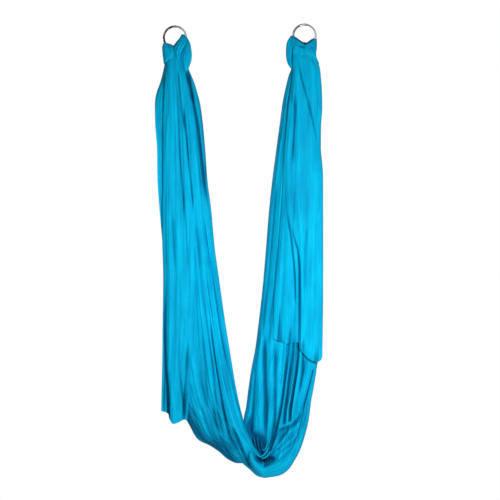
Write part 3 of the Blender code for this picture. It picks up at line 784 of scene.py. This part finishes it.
RIGHT_SLING_FOLDS = [
    groove(8, 1.9, (277, 165), (272, 230), (268, 280), (263, 330), (263, 350)),
    groove(16, 1.9, (264, 330), (265, 382), (266, 410), (266, 446)),
    slit(16, 1.1, (290, 290), (289, 330), (286, 368), (282, 402), (278, 422), (268, 456)),
    groove(10, 1.3, (274, 330), (275, 370), (275, 410), (269, 462)),
    slit(14, 1.0, (295, 300), (294, 335), (290, 372), (287, 396), (285, 412), (284, 426)),
    slit(20, 1.1, (300, 296), (299, 335), (297, 366), (293, 393), (290.5, 410), (289.8, 423.5)),
    groove(6, 1.3, (284, 245), (283, 280), (278, 340)),
    groove(9, 1.2, (255, 365), (253.5, 398), (252, 422), (248, 446)),
    groove(11, 1.1, (304, 310), (303, 342), (303, 366), (301, 382), (298, 400)),
    groove(6, 1.2, (314, 374), (308, 394), (302, 410), (291, 431)),
    groove(5, 1.4, (285, 92), (284, 108), (279, 145)),
    groove(5, 1.2, (274, 285), (270, 318), (269, 334), (266, 348)),
    groove(8, 1.0, (266, 459), (276, 446.5), (284, 435), (292.5, 423)),
    groove(7, 1.0, (266, 461), (276, 451), (290, 438.5), (301.7, 426.7)),
    groove(6, 1.0, (270, 462), (280, 452.6), (290, 445.5), (299, 437)),
    groove(5, 1.0, (262, 452), (270, 444), (277, 434), (281, 428)),
    ridge(9, 1.0, (278, 428), (284, 425.4), (290, 423), (296, 417), (303, 408)),
    groove(9, 1.3, (278, 431), (285, 428.6), (292, 426), (298.5, 420), (304, 412)),
    ridge(4, 1.3, (272, 453), (282, 441), (297, 424)),
    ridge(6, 2.3, (287.5, 100), (285, 145), (281.5, 200), (278.5, 255), (275.5, 298), (272, 338)),
    ridge(5, 2.3, (274, 310), (271.5, 350), (271, 378), (269, 418), (263, 455)),
    ridge(12, 1.0, (297, 290), (295.5, 330), (294, 366), (290.5, 395), (287.5, 412), (287, 426)),
    ridge(7, 2.6, (261, 320), (258.5, 370), (259, 410), (264, 438)),
    ridge(4, 1.4, (279, 335), (278.5, 374), (276, 428)),
    ridge(6, 1.0, (287, 376), (284, 402), (280, 428)),
    ridge(6, 1.2, (286, 334), (284, 360), (282, 390)),
    ridge(5, 1.4, (254, 368), (250, 398), (247, 435)),
    ridge(3, 1.8, (277, 450), (289, 440), (297, 430), (306, 408)),
]
RIGHT_SLING_DENTS = [
    (38, 259.5, 447, 5.8, 10.5), (38, 262, 461, 7.4, 5.4), (26, 269, 459.5, 5.5, 2.4),
    (24, 249, 428, 3, 10), (24, 254, 441, 3.4, 7), (7, 284, 435, 9, 8),
    (4, 272, 440, 5, 14), (-13, 292, 352, 8, 14), (2.5, 272, 418, 28, 20),
    (5, 304.5, 366, 5, 10), (5, 290, 404, 6, 12),
]

SEAT_FOLD_FOLDS = [
    groove(4, 1.4, (262, 475), (279, 470), (290, 459), (300, 442)),
    groove(4, 1.2, (262, 471), (275, 467), (288, 457)),
    ridge(3, 2.2, (266, 473), (282, 466), (292, 454), (302, 432)),
    groove(4, 1.2, (299, 430), (297, 442), (291, 461)),
    groove(4, 1.2, (308, 396), (304.5, 418), (299, 434)),
]
SEAT_FOLD_DENTS = [(3, 305, 424, 7, 16)]

LEFT_TAIL_STATIONS = [
    (170.8, 54, 175.2, 54, -20, -8, -12, -12),
    (168, 58, 178.2, 58, -27, -12, -16, -16),
    (166.4, 62, 180.4, 62, -34, -16, -20, -20),
    (165.8, 67, 182.6, 67, -41, -20, -26, -24),
    (165.2, 74, 185.6, 74, -48, -26, -34, -30),
    (164.4, 84, 187.2, 84, -54, -32, -42, -36),
    (163.5, 100, 189.5, 100, -60, -38, -50, -44),
    (163, 128, 192.5, 128, -65, -42, -55, -48),
    (163, 156, 194, 156, -67, -43, -56, -49),
    (162.8, 184, 195.5, 184, -69, -44, -56, -50),
    (162, 212, 196, 212, -70, -45, -56, -50),
    (162.2, 240, 195.5, 240, -71, -46, -57, -51),
    (163.2, 280, 195, 280, -72, -47, -58, -52),
    (162.6, 330, 194, 330, -73, -48, -60, -52),
    (162.2, 370, 191.5, 370, -72, -46, -62, -47),
    (161.5, 400, 189, 400, -71, -44, -62, -43),
    (161.2, 418, 187.2, 418, -70, -44, -62, -42),
]

RIGHT_TAIL_STATIONS = [
    (293.4, 49, 312.4, 49, -26.5, -14, -18, -16),
    (292.6, 53, 314.8, 53, -32.5, -16, -20, -18),
    (292.4, 57, 316.9, 57, -38, -19, -23, -20),
    (292.3, 61, 318.6, 61, -42.5, -22, -26, -22),
    (292.3, 67, 320.3, 67, -48, -26, -30, -24),
    (292, 76, 321.1, 76, -54, -32, -36, -28),
    (290.4, 88, 322, 88, -59, -37, -40, -32),
    (288.6, 102, 322.3, 102, -63, -40, -43, -34),
    (286.4, 125, 321, 125, -67, -42, -45, -36),
    (284.6, 145, 320.9, 145, -70, -43, -46, -38),
    (283, 175, 323.1, 175, -72, -44, -47, -40),
    (281.4, 210, 323.2, 210, -74, -45, -48, -42),
    (278.6, 250, 323.2, 250, -75, -46, -48, -44),
    (275.6, 290, 323.2, 290, -73, -47, -52, -50),
    (273.8, 320, 322.9, 320, -65, -48, -53, -51),
    (273, 356, 322.4, 356, -56, -48, -52, -51),
]

# Hem heights across each tail: (share across, y pixel)
LEFT_TAIL_HEM = [
    (0, 411), (0.27, 414), (0.31, 418.8), (0.47, 424), (0.64, 422.8), (0.9, 419.7), (1, 420.4),
]
RIGHT_TAIL_HEM = [
    (0, 338.6), (0.18, 342.2), (0.29, 343.8), (0.42, 342.6), (0.515, 342.4), (0.545, 349.6),
    (0.63, 354), (0.71, 358.4), (0.83, 361.2), (0.92, 361.6), (0.975, 360), (1, 356.5),
]

LEFT_TAIL_FOLDS = [
    groove(4, 1.1, (172, 50), (177, 100), (179, 144), (186, 232), (190, 300)),
    groove(4, 1.2, (177, 60), (180, 92), (185, 136)),
    groove(4, 0.8, (183, 92), (184, 110), (187, 144), (191, 184), (195, 222)),
    groove(10, 1.2, (164, 276), (164, 320), (166, 364), (168, 395), (169, 445)),
    groove(3, 2.0, (171, 195), (174, 248), (176, 280), (175, 312), (176, 356)),
    groove(2.5, 1.4, (179, 330), (178.5, 360), (182, 392), (186, 425)),
    ridge(3, 2.0, (166, 54), (170, 76), (169.5, 104), (166, 140), (167, 180)),
    ridge(5, 2.2, (167, 210), (170, 276), (169.5, 332), (171, 388), (174, 440)),
    ridge(3, 2.4, (176, 210), (180, 268), (185, 330)),
    ridge(2, 2.0, (173, 90), (172, 130), (172, 160)),
]
LEFT_TAIL_DENTS = [
    (5, 185, 405, 5, 26), (4, 168, 398, 7, 24), (3.5, 187, 360, 6, 20), (1.5, 186, 140, 7, 44),
]

RIGHT_TAIL_FOLDS = [
    groove(4, 0.9, (297, 52), (300.6, 74), (307, 98), (314, 126), (318, 148)),
    groove(3, 0.8, (309.5, 52), (311.6, 58), (314, 65)),
    slit(
        16, 0.8, (288, 212), (291, 225), (294.3, 238.6), (297.9, 251.4),
        (299.4, 272), (299.5, 325), (298.6, 400),
    ),
    groove(5, 1.3, (295, 90), (295, 110), (294, 134), (292, 168)),
    groove(7, 1.3, (293, 62), (292, 78), (290, 106)),
    groove(8, 0.7, (286, 207), (288, 220), (290, 231), (293, 256), (295, 284), (295.6, 316)),
    groove(2.5, 1.4, (284, 240), (283, 275), (280, 320), (279, 345)),
    groove(4, 1.6, (307.5, 220), (305, 258), (305, 300)),
    ridge(3, 2.0, (290, 115), (288, 162), (289, 202), (291, 232)),
    ridge(5, 1.0, (294.5, 250), (296.4, 285), (295.5, 335)),
    ridge(5, 1.8, (298, 190), (301.5, 250), (303, 300), (301.5, 350)),
    ridge(4, 2.4, (286, 215), (288, 250), (286, 302), (288.5, 340)),
    ridge(3, 1.8, (295, 56), (297, 86), (298.7, 140), (297.5, 190)),
    ridge(3, 3.0, (313, 230), (312.5, 285), (314, 350)),
]
RIGHT_TAIL_DENTS = [
    (5, 303, 50, 4, 4), (3.4, 304, 118, 17, 60), (3, 291, 165, 8, 30),
    (-2.5, 316, 310, 8, 40), (-2, 279, 305, 7, 30), (5, 290, 206, 8, 24), (3, 304, 212, 8, 26),
]

# Flat bands of the knots: rows of (edge x, edge y, edge x, edge y, front, back)
LEFT_KNOT_PATCHES = [
    [(163.6, 42.8, 167.4, 43.2, -10, 12), (162.6, 44.8, 173, 46.2, -13, 13),
     (162.1, 48, 175.6, 48.6, -20, 15), (162.4, 53, 176, 51.8, -25, 17),
     (163.1, 59, 175.2, 54.6, -28, 18), (164, 64.8, 173.8, 56.4, -29, 18)],
    [(181.6, 34.2, 184.2, 34.4, -10, 12), (178.8, 39, 187, 39.8, -16, 12),
     (175.8, 43.8, 186.2, 43.6, -21, 14), (173.3, 46.8, 184.6, 47.2, -24, 16),
     (172.6, 50.6, 182.4, 50.8, -28, 18), (173.4, 54.4, 181, 54.2, -31, 16),
     (175.2, 57, 180, 56.8, -34, 10), (177.2, 59, 179, 58.6, -34, 0)],
    [(182.6, 34.2, 185.4, 35.2, -8, 14), (185.4, 39, 188.6, 39.8, -11, 14),
     (185.8, 43.5, 190.5, 44.2, -15, 14), (183.6, 48.2, 191.4, 49.4, -19, 15),
     (181.2, 52.8, 191.9, 54.4, -24, 15), (179.5, 57.4, 191.6, 59.6, -29, 14),
     (180.2, 62.2, 190.2, 64.4, -33, 10), (182.2, 67.2, 188.5, 68.9, -36, 0),
     (184.2, 71.6, 185.8, 71.9, -36, -18)],
]

# Round bands of the knots: (x, y, half width, half depth, depth), in pixels
LEFT_KNOT_CORE = [
    (174.4, 46.6, 0.8, 1, 1.6), (175, 48.6, 6, 3.4, 1.8), (175.5, 54, 9.4, 4.8, 2),
    (175.8, 62, 10.6, 5.4, 2.2), (176.2, 70, 11.2, 6.6, 2.4),
]
LEFT_KNOT_SHADOW = [
    (164.8, 43.6, 1, 2, 4), (169, 44.9, 1.5, 2.4, 4.5), (173.4, 47.4, 2, 2.6, 4.5),
    (178, 42.4, 1.7, 2.4, 4), (182.8, 35.8, 1.1, 2, 3),
]
RIGHT_KNOT_PATCHES = [
    [(291.2, 35.4, 293.6, 35.2, -8, 14), (288.8, 38.6, 294.4, 40.6, -12, 14),
     (286.8, 42.6, 293.8, 45.4, -15, 14), (286, 48.2, 292.6, 50, -18, 15),
     (285.9, 54, 292.1, 55.4, -22, 15), (286.4, 59.4, 292, 60.4, -25, 12),
     (287.8, 64.2, 292.2, 64.6, -28, 4), (290.6, 68.2, 292.4, 68.4, -30, -8)],
    [(292.6, 34.9, 290.6, 37, -8, 12), (294.4, 36.9, 290.9, 42.4, -16, 12),
     (297, 39.1, 293.4, 47.4, -24, 13), (299.8, 41.1, 297.6, 46, -30, 15),
     (302.2, 42.8, 301, 46.2, -32, 16), (304.2, 43.6, 303.2, 47.8, -30, 15),
     (305.2, 44.2, 304.4, 48, -24, 12)],
    [(313.8, 38.2, 316.6, 39, -8, 12), (312, 39.7, 315.6, 44, -15, 12),
     (309.6, 41.5, 312.8, 47.6, -22, 13), (307.2, 43.2, 309.4, 47.6, -27, 14),
     (304.8, 44.2, 305.8, 46.8, -29, 14), (302.6, 45, 303, 47.8, -26, 12)],
    [(315, 38.2, 316.8, 38.6, -6, 16), (313, 43.2, 317, 44, -9, 14),
     (311.6, 48.2, 316.8, 49.2, -12, 12), (310.6, 53, 315.9, 54, -14, 10),
     (310.6, 59, 317.6, 59.6, -16, 10), (311, 64, 319.4, 64.4, -16, 12)],
]

# The top of the right tail where it comes out from under the knot's front band
RIGHT_KNOT_SKIRT = [
    (297.4, 43.4, 307.6, 43.4, -18, 0), (293.8, 46.6, 310.4, 46.6, -23.5, -2),
    (292.7, 50, 313, 50, -28, -6), (292.5, 54, 315.2, 54, -31.5, -10),
    (292.8, 58, 317, 58, -33, -14), (293.4, 62, 318, 62, -33, -18),
]

# Raised pleats of the right knot's bands, and the pinch where they meet, in full painted shade
RIGHT_KNOT_PLEATS = [
    [(292.4, 36.6, 0.5, 0.8, -2.4), (295, 39.4, 1, 1.4, -4.4), (298.6, 42.2, 1.1, 1.5, -6.9),
     (301.6, 44.2, 0.9, 1.4, -8), (303.6, 45.8, 0.5, 0.9, -8.2)],
    [(291.4, 38.2, 0.5, 0.8, -2.4), (293.8, 41.8, 1.1, 1.5, -4.4), (297.4, 44.2, 1.1, 1.5, -6.9),
     (300.6, 45.4, 0.8, 1.3, -8.1), (302.6, 46.6, 0.4, 0.8, -8.2)],
    [(289.8, 40, 0.5, 0.8, -2.6), (291.2, 43.2, 1.1, 1.5, -3.6), (293.6, 46, 1.1, 1.5, -5.4),
     (297, 46.2, 0.9, 1.3, -7.2), (299.6, 46, 0.4, 0.8, -7.8)],
    [(315.2, 39.6, 0.5, 0.8, -2.4), (312.4, 42, 1.1, 1.5, -4), (309, 44.2, 1.1, 1.5, -6),
     (306, 45.6, 0.8, 1.3, -7.3), (304.2, 46.6, 0.4, 0.8, -7.6)],
    [(315.4, 43, 0.5, 0.8, -2.4), (312.8, 45.4, 1, 1.4, -4.2), (309.4, 46.8, 0.9, 1.3, -6.2),
     (306, 47.4, 0.5, 0.9, -7)],
]
RIGHT_KNOT_PINCH = [
    (300.6, 46.9, 0.3, 0.6, -8), (302.4, 47.4, 0.9, 1.2, -8.4), (304.2, 47.9, 0.7, 1, -8.2),
    (305.6, 48.6, 0.3, 0.6, -7.6),
]
RIGHT_KNOT_CORE = [
    (304.5, 44.8, 9.5, 2.6, 2.6), (304, 48, 11.6, 3.4, 2.6),
    (303.5, 53, 11.6, 4.6, 2.4), (303.5, 60, 11.4, 5.4, 2.2), (304.5, 68, 13, 6.6, 2.4),
]

RIGHT_KNOT_SHADOW = [
    (292.4, 35.9, 1, 2, 3), (297, 40, 1.6, 2.4, 4), (302.5, 44, 2, 2.6, 4.5),
    (307, 44.4, 1.9, 2.6, 4.5), (311, 41.2, 1.5, 2.4, 4), (314.4, 38.8, 1, 2, 3),
]

# Small crumpled edges in the mouth of the seat
CRUMPLED_EDGES = [
    [(254.6, 452, 0.5, 1.2, -13), (257, 455, 0.8, 1.6, -13.5), (260, 456.5, 0.9, 1.8, -14),
     (263.4, 455.4, 0.9, 1.8, -14), (266.2, 451.6, 0.9, 1.8, -13), (268.2, 447.4, 0.7, 1.4, -12)],
    [(260.6, 457.6, 0.5, 1, -13), (263.4, 458.2, 0.8, 1.4, -13.5), (266.4, 456.8, 0.9, 1.6, -13.5),
     (269.4, 453.4, 0.8, 1.4, -12.5), (273, 450, 0.6, 1.2, -12)],
    [(262.6, 449.6, 0.5, 1, -9), (264.2, 450.4, 0.8, 1.4, -11), (266, 447.6, 0.8, 1.4, -12),
     (267.6, 442, 0.6, 1.2, -12)],
]

# How each stretch is gathered: the columns of its layers, its roundness, and the counts and
# depths of its pleats. full_px is the width at which the pleats have their full depth.
SLING_SPEC = dict(
    front_columns=300, back_columns=240, inner_columns=210, ease=0.45, round=3.2, full_px=55.0,
    front_pleat=0.0022, front_count=6.0, back_pleat=0.020, back_count=5.0, inner_count=16,
    inner_clear=0.010, edge_sharpness=14.0,
)
TAIL_SPEC = dict(
    front_columns=220, back_columns=200, inner_columns=420, ease=0.5, round=3.0,
    front_count=4.0, back_pleat=0.011, back_count=4.5, inner_count=62,
    inner_clear=0.002, edge_sharpness=12.0,
)
LEFT_SLING_SPEC = dict(SLING_SPEC, rows=330, length=LEFT_SLING_LENGTH, seed=3)
RIGHT_SLING_SPEC = dict(SLING_SPEC, rows=340, length=RIGHT_SLING_LENGTH, seed=11)
SEAT_FOLD_SPEC = dict(
    front_columns=90, back_columns=70, ease=0.6, round=2.6, full_px=14.0,
    front_pleat=0.0010, front_count=2.5, back_pleat=0.004, back_count=3.0, inner_count=0,
    edge_sharpness=7.0, rows=150, length=SEAT_FOLD_LENGTH, seed=5,
)
LEFT_TAIL_SPEC = dict(
    TAIL_SPEC, rows=300, length=LEFT_TAIL_LENGTH, seed=31,
    hem=LEFT_TAIL_HEM, full_px=30.0, front_pleat=0.0015,
)
RIGHT_TAIL_SPEC = dict(
    TAIL_SPEC, rows=280, length=RIGHT_TAIL_LENGTH, seed=47,
    hem=RIGHT_TAIL_HEM, full_px=48.0, front_pleat=0.0010,
)

# The bands of the knots: how many ripples, how finely meshed, and how dark in painted shade, all over or at
# the rim
LEFT_KNOT_LOOK = dict(seed=21, rim_shade=0.15)
RIGHT_KNOT_LOOK = dict(seed=51, rim_shade=0.4)
CORE_BAND = dict(pleat_count=5, rows=56, columns=60, shade=0.8)
SHADOW_BAND = dict(pleat_count=3, rows=56, columns=24, shade=1.0)
PLEAT_BAND = dict(pleat_count=2, seed=90, rows=30, columns=20, shade=0.0)
PINCH_BAND = dict(pleat_count=2, seed=95, rows=20, columns=16, shade=1.0)
CRUMPLED_BAND = dict(pleat_count=3, seed=70, rows=40, columns=24, shade=0.0)
KNOT_PATCH = dict(pleat_count=3.2, pleat=0.0020)
SKIRT_PATCH = dict(pleat_count=3.6, pleat=0.0012, seed=71, rim_shade=0.0)


# The room: pale floor, white surroundings, soft light

def make_world():
    """Plain white to the camera, a soft light of its own strength to the object."""
    world = bpy.data.worlds.new("soft_white_room")
    world.use_nodes = True
    bpy.context.scene.world = world
    tree = world.node_tree
    rays = new_node(tree, "ShaderNodeLightPath", {}).outputs
    seen = maths(tree, "MAXIMUM", rays["Is Camera Ray"], rays["Is Glossy Ray"])
    seen = maths(tree, "MAXIMUM", seen, rays["Is Transmission Ray"])
    light = tree.nodes["Background"]
    feed(tree, light, {"Color": WHITE, "Strength": ROOM_LIGHT})
    white = new_node(tree, "ShaderNodeBackground", {"Color": WHITE, "Strength": 1.0})
    inputs = {"Fac": seen, 1: light.outputs["Background"], 2: white.outputs["Background"]}
    mix = new_node(tree, "ShaderNodeMixShader", inputs)
    feed(tree, tree.nodes["World Output"], {"Surface": mix.outputs["Shader"]})


def make_floor():
    """A pale round floor below the hammock, outside the photograph's view."""
    bpy.ops.mesh.primitive_circle_add(
        vertices=FLOOR_SIDES, radius=FLOOR_RADIUS, fill_type="NGON", location=(VIEW_X, 0, FLOOR_Z),
    )
    floor = bpy.context.object
    floor.name = "floor"
    floor.data.materials.append(node_material("pale_floor", FLOOR_SURFACE)[0])


def make_lamp(name, offset, size, power):
    """A round soft lamp aimed at the middle of the view."""
    data = bpy.data.lights.new(name, "AREA")
    data.shape = "DISK"
    data.size = size
    data.energy = power
    lamp = bpy.data.objects.new(name, data)
    lamp.location = (VIEW_X + offset[0], offset[1], VIEW_Z + offset[2])
    aim = Vector((VIEW_X, 0, VIEW_Z)) - lamp.location
    lamp.rotation_euler = aim.to_track_quat("-Z", "Y").to_euler()
    lamp.visible_camera = False
    bpy.context.scene.collection.objects.link(lamp)


def make_camera():
    data = bpy.data.cameras.new("camera")
    data.sensor_fit = "HORIZONTAL"
    data.angle = 2 * math.atan(VIEW_WIDTH / 2 / CAMERA_DISTANCE)
    data.clip_start, data.clip_end = CAMERA_REACH
    camera = bpy.data.objects.new("camera", data)
    camera.location = (VIEW_X, -CAMERA_DISTANCE, VIEW_Z)
    camera.rotation_euler = (math.radians(90), 0, 0)
    bpy.context.scene.collection.objects.link(camera)
    bpy.context.scene.camera = camera


# The pieces

def add_rings(steel):
    for side, centre, weld in (("left", LEFT_RING, LEFT_WELD), ("right", RIGHT_RING, RIGHT_WELD)):
        ring = welded_ring(side + "_steel_ring", centre, weld, steel)
        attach(ring, side + "_ring")
        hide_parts(side + "_ring")


def add_left_half(cloth):
    """The left knot and limb, down to the bottom of the seat."""
    grids = gathered(LEFT_SLING_STATIONS, LEFT_SLING_FOLDS, LEFT_SLING_DENTS, LEFT_SLING_SPEC)
    grids += knot_grids(LEFT_KNOT_PATCHES, LEFT_KNOT_CORE, LEFT_KNOT_SHADOW, **LEFT_KNOT_LOOK)
    left = cloth_object("left_half_of_sling", grids, cloth)
    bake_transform(left)
    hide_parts("left_knot", "left_limb")


def add_right_half(cloth):
    """The right knot and limb, and the seat with its outer fold and pocket."""
    grids = gathered(RIGHT_SLING_STATIONS, RIGHT_SLING_FOLDS, RIGHT_SLING_DENTS, RIGHT_SLING_SPEC)
    grids += gathered(SEAT_FOLD_STATIONS, SEAT_FOLD_FOLDS, SEAT_FOLD_DENTS, SEAT_FOLD_SPEC)
    grids += knot_grids(RIGHT_KNOT_PATCHES, RIGHT_KNOT_CORE, RIGHT_KNOT_SHADOW, **RIGHT_KNOT_LOOK)
    grids += knot_patch(RIGHT_KNOT_SKIRT, **SKIRT_PATCH)
    grids += [band(path, **PLEAT_BAND) for path in RIGHT_KNOT_PLEATS]
    grids.append(band(RIGHT_KNOT_PINCH, **PINCH_BAND))
    grids += [band(path, **CRUMPLED_BAND) for path in CRUMPLED_EDGES]
    right = cloth_object("right_half_of_sling", grids, cloth)
    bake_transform(right)
    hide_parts("right_knot", "right_limb", "seat")


def add_left_tail(cloth):
    grids = gathered(LEFT_TAIL_STATIONS, LEFT_TAIL_FOLDS, LEFT_TAIL_DENTS, LEFT_TAIL_SPEC)
    left_tail = cloth_object("left_loose_tail", grids, cloth)
    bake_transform(left_tail)
    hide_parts("left_tail")


def add_right_tail(cloth):
    grids = gathered(RIGHT_TAIL_STATIONS, RIGHT_TAIL_FOLDS, RIGHT_TAIL_DENTS, RIGHT_TAIL_SPEC)
    right_tail = cloth_object("right_loose_tail", grids, cloth)
    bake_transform(right_tail)
    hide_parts("right_tail")


def main():
    bpy.context.scene.view_settings.view_transform = "Standard"
    make_camera()
    make_world()
    make_floor()
    for lamp in LAMPS:
        make_lamp(*lamp)
    cloth, steel = cloth_material(), steel_material()
    add_rings(steel)
    add_left_half(cloth)
    add_right_half(cloth)
    add_left_tail(cloth)
    add_right_tail(cloth)


main()
